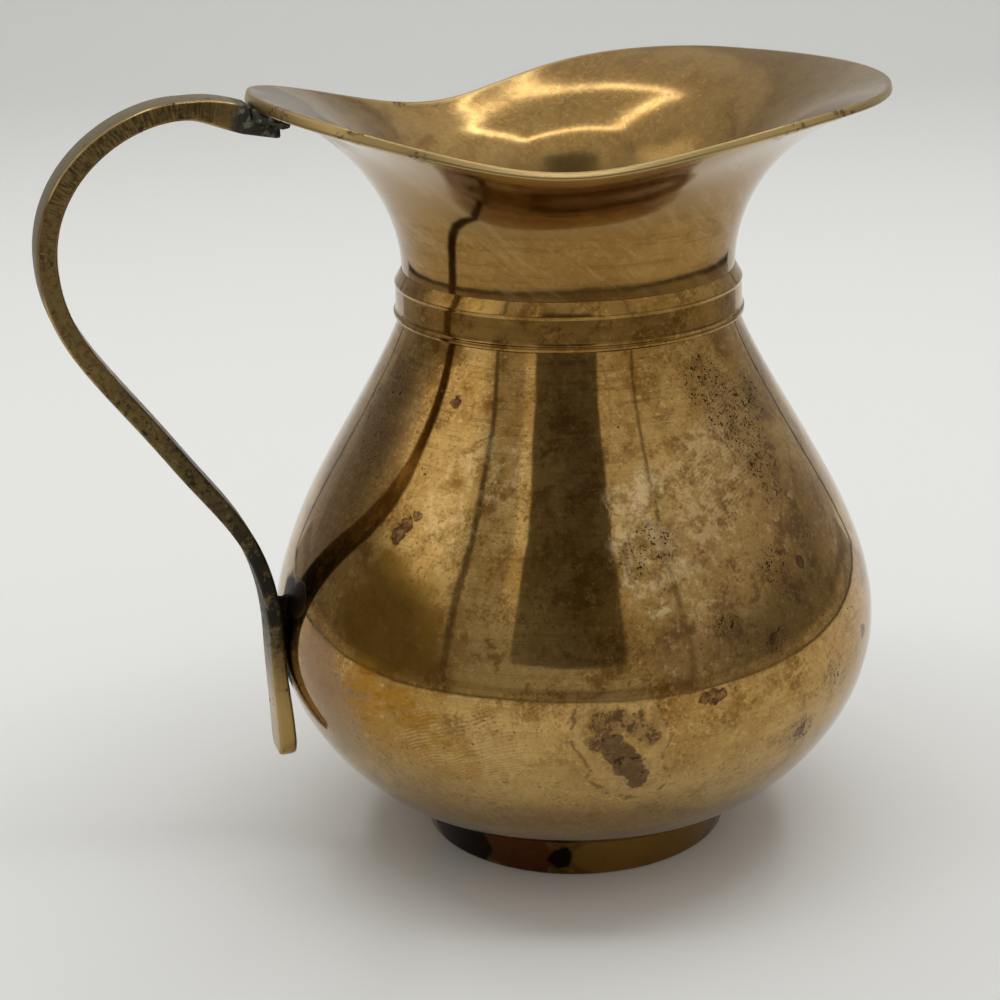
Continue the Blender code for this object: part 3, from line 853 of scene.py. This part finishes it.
def under_tongue(depth, from_lip):
    """A point this deep under the tongue, this far in from the lip."""
    _, _, knot, lip = flare_controls(tongue)
    point = flare_below(tongue, 1.0 - from_lip / (3 * (lip - knot).length), depth)
    return Vector((-point.x, point.y))


strap_pairs = strap_edges()


def tab_pairs():
    """The stepped tab, from its end under the tongue out to the foot of the step."""
    tab_end = under_tongue(tab_depth, tab_length)
    tab_corner = tab_end - Vector((0.0, tab_thick))
    step_top, step_low = strap_pairs[0]
    pairs = []
    for i in range(tab_steps + 1):
        share = i / tab_steps
        top = under_tongue(tab_depth, tab_length * (1 - share))
        pairs.append((top, tab_corner.lerp(step_low, share * step_foot_share)))
    foot_of_step = pairs[-1][0]
    for i in range(1, step_steps):
        share = i / step_steps
        low = tab_corner.lerp(step_low, step_foot_share + (1 - step_foot_share) * share)
        pairs.append((foot_of_step.lerp(step_top, share), low))
    return pairs


def strap_ring(outer, inner, half_width):
    """One round of the strap: points on a rounded oblong, how sawn each is and how high it lies."""
    thick = outer - inner
    fillet = min(strap_fillet, most_fillet_share * thick.length, most_fillet_share * 2 * half_width)
    up = thick.normalized()
    middle = (outer + inner) / 2
    points = []
    sides = []
    lifts = []
    for turn in range(4):
        at_high = turn in (0, 1)
        at_near = turn in (1, 2)
        for step in range(FILLET_STEPS + 1):
            angle = math.pi / 2 * (turn + step / FILLET_STEPS)
            lift = (thick.length / 2 - fillet) * (1 if at_high else -1) + fillet * math.sin(angle)
            reach = (half_width - fillet) * (-1 if at_near else 1) + fillet * math.cos(angle)
            flat = middle + up * lift
            points.append(Vector((axis_x + flat.x, reach, flat.y)))
            sides.append(abs(math.cos(angle)))
            lifts.append(lift)
    return points, sides, lifts


def tail_rings():
    """The tail's end: a half round in plan, eased at the edge."""
    outer, inner = strap_pairs[-1]
    down = (strap_pairs[-1][0] - strap_pairs[-3][0]).normalized()
    middle = (outer + inner) / 2
    half_thick = (outer - middle).length
    rings = []
    for step in range(tail_steps):
        angle = math.pi / 2 * step / tail_last_step
        from_tip = strap_half_width * (1 - math.sin(angle))
        drop = down * (tail_nose - from_tip)
        eased = min(from_tip, tail_round)
        half = half_thick - tail_round + math.sqrt(tail_round**2 - (tail_round - eased) ** 2)
        lift = (outer - middle) * half / half_thick
        width = strap_half_width * math.cos(angle)
        rings.append((middle + drop + lift, middle + drop - lift, width))
    return rings


def strap_outlines():
    """The strap's two faces and half width, from the tab's eased end to the round of the tail."""
    tail_top = (strap_pairs[-1][0] + strap_pairs[-1][1]) / 2
    round_reach = strap_half_width - tail_nose
    straight = [pair for pair in strap_pairs if ((pair[0] + pair[1]) / 2 - tail_top).length > round_reach]
    (first_top, first_low), *rest = tab_pairs() + straight
    middle = (first_top + first_low) / 2
    narrow = strap_half_width - tab_end_narrowing
    ends = [(middle.lerp(first_top, s), middle.lerp(first_low, s), narrow) for s in tab_end_shares]
    return ends + [(top, low, strap_half_width) for top, low in rest] + tail_rings()


def cap_ends(shape, rows):
    """Joins the rows of a tube and closes both of its ends."""
    bridge(shape, rows, True)
    shape.faces.new(rows[0])
    shape.faces.new(rows[-1])


def strap_mesh():
    """The strap as a skin of rounds; each point keeps how far along, how sawn and how high it is."""
    shape = bmesh.new()
    along = shape.verts.layers.float.new("along")
    sawn = shape.verts.layers.float.new("sawn")
    through = shape.verts.layers.float.new("through")
    rows = []
    run = 0.0
    last = None
    for outer, inner, width in strap_outlines():
        middle = (outer + inner) / 2
        run += (middle - last).length if last else 0.0
        last = middle
        points, sides, lifts = strap_ring(outer, inner, width)
        row = [shape.verts.new(point) for point in points]
        for vertex, side, lift in zip(row, sides, lifts):
            vertex[along] = run
            vertex[sawn] = side
            vertex[through] = lift
        rows.append(row)
    cap_ends(shape, rows)
    return smoothed("handle_strap_bent", shape, SHARP_ANGLE)


def strap_finish():
    finish = aged_brass("strap_brass_handled", (0.36, 0.255, 0.11), (0.22, 0.135, 0.046), 0.2)
    sawn = finish.kept("sawn")
    along = finish.kept("along")
    through = finish.kept("through")
    side = finish.spread(sawn, 0.80, 0.99)
    inner = finish.times(finish.spread(through, -0.7 * MM, -1.0 * MM), finish.spread(sawn, 0.6, 0.2))
    finish.lay(inner, 0.85, (0.25, 0.155, 0.055), 0.32)
    outer = finish.times(finish.spread(through, 0.5 * MM, 0.9 * MM), finish.spread(sawn, 0.6, 0.2))
    finish.lay(outer, 0.9, (0.17, 0.13, 0.06), 0.45, 0.45)
    cloud = finish.grain(6 * MM, 6.0, 0.65)
    dulled = finish.times(side, finish.spread(cloud, 0.3, 0.6, 0.75, 0.98))
    finish.lay(dulled, 1.0, (0.215, 0.145, 0.055), 0.36)
    gritty = finish.times(side, finish.clouds(0.48, 0.60, 0.9 * MM, 6.0, 0.72))
    finish.lay(gritty, 0.7, (0.085, 0.052, 0.02), 0.45)
    kept_place = finish.place
    finish.place = finish.node("ShaderNodeCombineXYZ", along, through, 0.0).outputs[0]
    cut = finish.clouds(0.40, 0.60, 2.2 * MM, 4.0, 0.65, (6.5, 1.0, 1.0))
    drawn = finish.clouds(0.42, 0.62, 9 * MM, 4.0, 0.65, (1.0, 22.0, 1.0))
    finish.place = kept_place
    bend = finish.times(finish.spread(along, 7 * MM, 12 * MM), finish.spread(along, 52 * MM, 30 * MM))
    cut = finish.times(cut, side, finish.math("MAXIMUM", bend, 0.18))
    drawn = finish.times(drawn, side)
    finish.lay(drawn, 0.5, (0.23, 0.155, 0.065), 0.32)
    finish.lay(cut, 0.75, (0.045, 0.028, 0.012), 0.5)
    finish.relief(cut, -0.05 * MM)
    finish.relief(drawn, 0.012 * MM)
    edge = finish.times(finish.spread(sawn, 0.25, 0.6), finish.spread(sawn, 0.97, 0.75))
    worn = finish.clouds(0.35, 0.55, 4 * MM, 4.0)
    finish.lay(finish.times(edge, worn), 0.85, (0.48, 0.34, 0.15), 0.2)
    height = finish.height()
    uneven = finish.spread(cloud, 0.35, 0.55, 0.5, 1.0)
    grimy = finish.times(finish.spread(height, 88 * MM, 66 * MM), uneven)
    finish.lay(grimy, 0.8, (0.10, 0.07, 0.028), 0.4)
    low = finish.times(finish.spread(height, 33 * MM, 39 * MM), finish.spread(height, 64 * MM, 48 * MM))
    sooty = finish.times(low, finish.clouds(0.32, 0.50, 4 * MM, 6.0, 0.65))
    finish.lay(sooty, 0.93, (0.012, 0.011, 0.007), 0.6, 0.6)
    lower = finish.spread(height, 92 * MM, 74 * MM)
    patchy = finish.times(lower, finish.clouds(0.52, 0.59, 2.6 * MM, 7.0, 0.74))
    finish.lay(patchy, 0.6, (0.20, 0.145, 0.06), 0.38, 0.9)
    grit = finish.times(lower, finish.clouds(0.52, 0.60, 1.0 * MM, 6.0, 0.75))
    finish.lay(grit, 0.75, (0.020, 0.015, 0.008), 0.55)
    tail = finish.spread(height, 36 * MM, 24 * MM)
    finish.lay(tail, 0.85, (0.45, 0.295, 0.105), 0.2, 1.0)
    tab = finish.spread(along, 8.2 * MM, 6.4 * MM)
    finish.lay(tab, 0.95, (0.018, 0.014, 0.010), 0.7, 0.1)
    crusted = finish.times(tab, finish.clouds(0.50, 0.60, 1.5 * MM, 6.0, 0.7))
    finish.lay(crusted, 0.85, (0.17, 0.175, 0.12), 0.85, 0.0)
    specks = finish.clouds(0.65, 0.70, 1.2 * MM, 2.0, 0.5)
    finish.lay(specks, 0.8, (0.02, 0.012, 0.006), 0.6, 0.4)
    return finish.done()


add_piece("handle_strap_bent", strap_mesh(), strap_finish(), "handle_strap")

# Upper solder: the pad that joins the tab to the tongue, squeezed out round the tab in a lumpy bead. It
# has weathered to a black crust with chalky grey-green lumps.
bead_radius = 0.85 * MM
bead_round = 18
bead_lump = 0.45 * MM
bead_depth = 0.6 * MM
bead_from_lip = 0.15 * MM
bead_beside_tab = 0.25 * MM
bead_past_tab = 0.4 * MM
bead_turn_share = 0.8
bead_side_steps = 14
bead_end_steps = 7
bead_swell = (0.25, 0.8, 1.25, 1.2)
lump_period = 1.4 * MM
lump_seed = 5
noise.seed_set(lump_seed)


def bead_path():
    """Line of the squeezed-out solder: down one side of the tab, round its end and up the other side."""
    reaches = np.linspace(bead_from_lip, tab_length, bead_side_steps)
    flats = [under_tongue(neck_wall + bead_depth, float(reach)) for reach in reaches]
    near = [Vector((axis_x + p.x, -strap_half_width - bead_beside_tab, p.y)) for p in flats]
    far = [Vector((p.x, -p.y, p.z)) for p in near]
    end = flats[-1]
    spots = np.linspace(-bead_turn_share, bead_turn_share, bead_end_steps)
    end_x = axis_x + end.x + bead_past_tab
    turn = [Vector((end_x, float(s) * strap_half_width, end.y)) for s in spots]
    return near + turn + far[::-1]


def lumped_skin(name, rings, lump):
    """A closed mesh over a row of rings, pushed about by rough noise, as solder sets."""
    shape = bmesh.new()
    cap_ends(shape, [[shape.verts.new(point) for point in ring] for ring in rings])
    bmesh.ops.recalc_face_normals(shape, faces=shape.faces)
    bmesh.ops.triangulate(shape, faces=[face for face in shape.faces if len(face.verts) > 4])
    bmesh.ops.subdivide_edges(shape, edges=shape.edges, cuts=1, use_grid_fill=True, smooth=0.6)
    for vertex in shape.verts:
        vertex.co += lump * noise.turbulence_vector(vertex.co / lump_period, 3, False)
    return smoothed(name, shape, math.pi)


def solder_bead_mesh():
    path = bead_path()
    rings = []
    for i, point in enumerate(path):
        run = (path[min(i + 1, len(path) - 1)] - path[max(i - 1, 0)]).normalized()
        across = run.cross(Vector((0.0, 0.0, 1.0))).normalized()
        up = across.cross(run)
        ends = min(i, len(path) - 1 - i)
        radius = bead_radius * (bead_swell[ends] if ends < len(bead_swell) else 1.0)
        angles = round_turn(bead_round)
        rings.append([point + radius * (math.cos(a) * across + math.sin(a) * up) for a in angles])
    return lumped_skin("upper_solder_bead", rings, bead_lump)


def crust_finish():
    finish = Finish("solder_crust_chalky", (0.05, 0.055, 0.036), 0.8, 0.0)
    pale = finish.clouds(0.52, 0.64, 1.3 * MM, 6.0, 0.68)
    finish.lay(pale, 0.85, (0.27, 0.28, 0.20), 0.9)
    dark = finish.clouds(0.46, 0.58, 2.0 * MM, 5.0, 0.62)
    finish.lay(dark, 0.9, (0.020, 0.018, 0.011), 0.7)
    finish.relief(finish.grain(0.4 * MM, 4.0, 0.6), 0.08 * MM)
    return finish.done()


add_piece("upper_solder_bead", solder_bead_mesh(), crust_finish(), "upper_solder")

# Lower solder: the wedge that fills the crevice where the strap meets the belly. Flux and soot from the
# torch have left it black and lumpy.
wedge_half_width = 1.3 * MM
wedge_low_z = 36.5 * MM
wedge_high_z = 41.6 * MM
wedge_steps = 22
wedge_round = 24
wedge_taper = 0.9
wedge_squareness = 0.6
wedge_bite = 0.3 * MM
wedge_lump = 0.35 * MM
soot_gloss = 0.12


def wedge_mesh():
    """The wedge as level rings between strap and belly, narrowing upwards."""
    levels = np.linspace(wedge_low_z, wedge_high_z, wedge_steps)
    belly_side = wedge_bite - belly_reach(levels)
    inner = [pair[1] for pair in strap_pairs[::-1]]
    strap_side = np.interp(levels, [p.y for p in inner], [p.x for p in inner]) - wedge_bite
    rings = []
    for i, (left, right, level) in enumerate(zip(strap_side, belly_side, levels)):
        width = wedge_half_width * math.sqrt(1 - (wedge_taper * i / (wedge_steps - 1)) ** 2)
        middle = Vector((axis_x + (left + right) / 2, 0.0, level))
        half = (right - left) / 2
        ring = []
        for a in round_turn(wedge_round):
            reach = Vector((half * math.cos(a), width * math.sin(a), 0.0))
            ring.append(middle + reach / max(abs(math.cos(a)), abs(math.sin(a))) ** wedge_squareness)
        rings.append(ring)
    return lumped_skin("lower_solder_wedge", rings, wedge_lump)


def soot_finish():
    finish = Finish("solder_soot_black", (0.010, 0.008, 0.006), 0.8, 0.0)
    dusty = finish.clouds(0.5, 0.7, 1.8 * MM, 6.0, 0.65)
    finish.lay(dusty, 0.8, (0.030, 0.021, 0.012), 0.9)
    finish.relief(finish.grain(0.5 * MM, 4.0, 0.6), 0.08 * MM)
    finish.tree.nodes["Principled BSDF"].inputs["Specular IOR Level"].default_value = soot_gloss
    return finish.done()


add_piece("lower_solder_wedge", wedge_mesh(), soot_finish(), "lower_solder")

# Camera: it stands a little above the lip and to the handle's side, and looks slightly down at the jug.
# Everything on the stage is placed in the same frame, turned to face the camera.
camera_away = 313.8 * MM
camera_high = 160.1 * MM
camera_turn = math.radians(1.96)
camera_tilt = math.radians(90.0 - 19.14)
camera_roll = math.radians(-1.45)
jug_turn = math.radians(19.0)
facing = Matrix.Translation((axis_x, 0.0, 0.0)) @ Matrix.Rotation(-jug_turn, 4, "Z")
lens = bpy.data.cameras.new("lens")
lens.sensor_width = 36.0
lens.lens = 79.2
lens.clip_start = 0.01
camera = bpy.data.objects.new("camera", lens)
camera.matrix_world = (
    facing
    @ Matrix.Translation((0.0, -camera_away, camera_high))
    @ Matrix.Rotation(camera_turn, 4, "Z")
    @ Matrix.Rotation(camera_tilt, 4, "X")
    @ Matrix.Rotation(camera_roll, 4, "Z")
)
bpy.context.scene.collection.objects.link(camera)
bpy.context.scene.camera = camera

# Floor: one wide sheet of pale matte paper that curves up behind the jug.
paper_half_width = 1.1
paper_front = -1.1
paper_bend = 0.75
paper_sweep = 0.3
paper_top = 0.95
paper_flat_steps = 12
paper_sweep_steps = 16
paper_side_steps = 9


def paper_line():
    """Side view of the paper from its front edge, back along the table and up the sweep."""
    flat = [Vector((y, 0.0)) for y in np.linspace(paper_front, paper_bend, paper_flat_steps)]
    middle = Vector((paper_bend, paper_sweep))
    angles = np.linspace(-math.pi / 2, 0.0, paper_sweep_steps)[1:]
    sweep = [middle + paper_sweep * way(float(angle)) for angle in angles]
    return flat + sweep + [Vector((paper_bend + paper_sweep, paper_top))]


def grid_mesh(name, rows):
    """An open sheet through rows of points, smooth shaded."""
    count = len(rows[0])
    faces = []
    for i in range(len(rows) - 1):
        for j in range(count - 1):
            here = i * count + j
            faces.append((here, here + count, here + count + 1, here + 1))
    mesh = bpy.data.meshes.new(name)
    mesh.from_pydata([facing @ Vector(point) for row in rows for point in row], [], faces)
    mesh.shade_smooth()
    return mesh


def add_stage(name, mesh, material):
    piece = bpy.data.objects.new(name, mesh)
    mesh.materials.append(material)
    bpy.context.scene.collection.objects.link(piece)
    return piece


def paper_finish():
    finish = Finish("paper_pale", (0.80, 0.80, 0.79), 0.9, 0.0)
    finish.lay(finish.clouds(0.35, 0.65, 0.9, 3.0), 0.25, (0.77, 0.77, 0.765))
    return finish.done()


paper_sides = np.linspace(-paper_half_width, paper_half_width, paper_side_steps)
paper_rows = [[(float(x), p.x, p.y) for p in paper_line()] for x in paper_sides]
add_stage("paper", grid_mesh("paper", paper_rows), paper_finish())

# Light: a square of wide soft strips overhead lights the table, and a square of slim tubes shines in the
# lip. The room is dim, and lighter on the right. Dark flags and soft cards stand round the jug and lie on
# the paper, out of the camera's sight, for the polished brass to mirror.
room_left = 0.33
room_right = 0.45
room_ceiling = 1.7
room_color = (1.0, 0.985, 0.95, 1.0)
lamp_color = (0.97, 1.0, 1.0)
strip_reach = 0.30
strip_front = -0.10
strip_back = 0.40
strip_z = 0.60
strip_width = 0.09
strip_watts = 0.65
tube_reach = 0.155
tube_front = -0.15
tube_back = 0.165
tube_z = 0.55
tube_width = 0.026
tube_watts = 0.11
flag_steps = 9
card_steps = 13
card_edge = 1.5
card_color = (1.0, 0.97, 0.90, 1.0)
floor_flag_lift = 1.5 * MM
floor_flag_bearing = 137
floor_flag_rings = 5
floor_flag_steps = 97


def drawn_out(tree, value, low, high, least, most):
    """A value of the room from low to high, drawn out to least to most."""
    spread = tree.nodes.new("ShaderNodeMapRange")
    for socket, number in zip(spread.inputs[1:], (low, high, least, most)):
        socket.default_value = number
    tree.links.new(value, spread.inputs["Value"])
    return spread.outputs["Result"]


def room_light():
    """A dim room, lighter overhead and on the right."""
    room = bpy.data.worlds.new("room")
    room.use_nodes = True
    tree = room.node_tree
    bpy.context.scene.world = room
    turned_way = tree.nodes.new("ShaderNodeVectorRotate")
    turned_way.rotation_type = "Z_AXIS"
    turned_way.inputs["Angle"].default_value = jug_turn
    tree.links.new(tree.nodes.new("ShaderNodeTexCoord").outputs["Generated"], turned_way.inputs["Vector"])
    split = tree.nodes.new("ShaderNodeSeparateXYZ")
    tree.links.new(turned_way.outputs[0], split.inputs[0])
    level = tree.nodes.new("ShaderNodeMath")
    level.operation = "MULTIPLY"
    tree.links.new(drawn_out(tree, split.outputs["X"], -0.7, 0.7, room_left, room_right), level.inputs[0])
    tree.links.new(drawn_out(tree, split.outputs["Z"], 0.2, 0.85, 1.0, room_ceiling), level.inputs[1])
    back = tree.nodes["Background"]
    back.inputs["Color"].default_value = room_color
    tree.links.new(level.outputs[0], back.inputs["Strength"])


def add_softbox(name, width, depth, watts, place):
    light = bpy.data.lights.new(name, "AREA")
    light.shape = "RECTANGLE"
    light.size = width
    light.size_y = depth
    light.energy = watts
    light.color = lamp_color
    box = bpy.data.objects.new(name, light)
    box.matrix_world = facing @ Matrix.Translation(place)
    box.visible_camera = False
    bpy.context.scene.collection.objects.link(box)
    return box


def square_of_lights(name, reach, front, back, high, width, watts):
    """Four lights in a square over the jug, facing down."""
    middle = (front + back) / 2
    boxes = []
    for x in (-reach, reach):
        boxes.append(add_softbox(name, width, back - front, watts, (x, middle, high)))
    for y in (front, back):
        boxes.append(add_softbox(name, 2 * reach, width, watts, (0.0, y, high)))
    return boxes


def flag_finish(name, dark, light):
    finish = Finish(name, dark, 0.9, 0.0)
    finish.lay(finish.clouds(0.35, 0.65, 0.35, 2.0), 1.0, light)
    return finish.done()


def hide_flag(flag):
    """Leaves a flag in the reflections alone."""
    flag.visible_camera = False
    flag.visible_diffuse = False
    flag.visible_shadow = False


def bowed_rows(left, right, low, high, away, count):
    """Rows of points round the jug, between two bearings from the camera's side, in degrees."""
    bearings = [math.radians(b) for b in np.linspace(left, right, count)]
    levels = [float(z) for z in np.linspace(low, high, count)]
    return [[(away * math.sin(b), -away * math.cos(b), z) for b in bearings] for z in levels]


def upright_flag(name, left, right, low, high, away, material):
    rows = bowed_rows(left, right, low, high, away, flag_steps)
    hide_flag(add_stage(name, grid_mesh(name, rows), material))


def soft_card(name, left, right, low, high, away, strength):
    """A card with soft edges for the polished brass to show; a strong one glows, a weak one shades."""
    mesh = grid_mesh(name, bowed_rows(left, right, low, high, away, card_steps))
    shares = [i / (card_steps - 1) for i in range(card_steps)]
    fade = [min(1.0, card_edge * math.sin(math.pi * share)) for share in shares]
    glow = mesh.attributes.new("glow", "FLOAT", "POINT")
    glow.data.foreach_set("value", [up * across for up in fade for across in fade])
    finish = Finish(name, (0.02, 0.02, 0.02), 0.9, 0.0)
    shader = finish.tree.nodes["Principled BSDF"]
    shader.inputs["Emission Color"].default_value = card_color
    shader.inputs["Emission Strength"].default_value = strength
    finish.feed(shader.inputs["Alpha"], finish.kept("glow"))
    hide_flag(add_stage(name, mesh, finish.done()))


def floor_flag(name, near, far, material):
    """A flag laid on the paper as part of a ring, open behind the jug."""
    angles = np.linspace(-floor_flag_bearing, floor_flag_bearing, floor_flag_steps)
    bearings = [math.radians(angle) for angle in angles]
    rows = []
    for reach in np.linspace(near, far, floor_flag_rings):
        rows.append([(reach * math.sin(b), -reach * math.cos(b), floor_flag_lift) for b in bearings])
    hide_flag(add_stage(name, grid_mesh(name, rows), material))


room_light()
strips = square_of_lights(
    "soft_strip", strip_reach, strip_front, strip_back, strip_z, strip_width, strip_watts
)
tubes = square_of_lights("slim_tube", tube_reach, tube_front, tube_back, tube_z, tube_width, tube_watts)
for box in strips:
    box.visible_glossy = False
for box in tubes:
    box.visible_diffuse = False
flag_dark = flag_finish("flag_dark", (0.19, 0.18, 0.165), (0.27, 0.26, 0.24))
flag_black = flag_finish("flag_black", (0.02, 0.019, 0.017), (0.03, 0.028, 0.026))
flag_grey = flag_finish("flag_grey", (0.34, 0.32, 0.28), (0.46, 0.44, 0.39))
upright_flag("flag_behind_camera", -22, 19, 0.16, 0.84, 0.8, flag_dark)
upright_flag("flag_left_post", -49, -46, -0.05, 1.1, 0.8, flag_dark)
upright_flag("flag_right_post", 42, 44, -0.05, 1.1, 0.8, flag_grey)
soft_card("left_edge", -138.6, -136.9, -0.35, 0.60, 0.30, 0.05)
soft_card("right_edge", 136.9, 138.6, -0.35, 0.60, 0.30, 0.05)
soft_card("left_window", -112, -44, 0.12, 1.05, 0.85, 0.95)
soft_card("left_shade", -138, -40, -0.20, 0.42, 0.83, 0.22)
soft_card("right_shade", 44, 128, -0.16, 0.26, 0.83, 0.2)
soft_card("left_streak", -30, -20, 0.35, 1.1, 0.82, 0.8)
soft_card("right_streak", 17, 27, 0.40, 1.1, 0.82, 0.6)
floor_flag("flag_paper_edge", 0.300, 0.332, flag_black)
floor_flag("flag_round_paper", 0.332, 1.6, flag_grey)
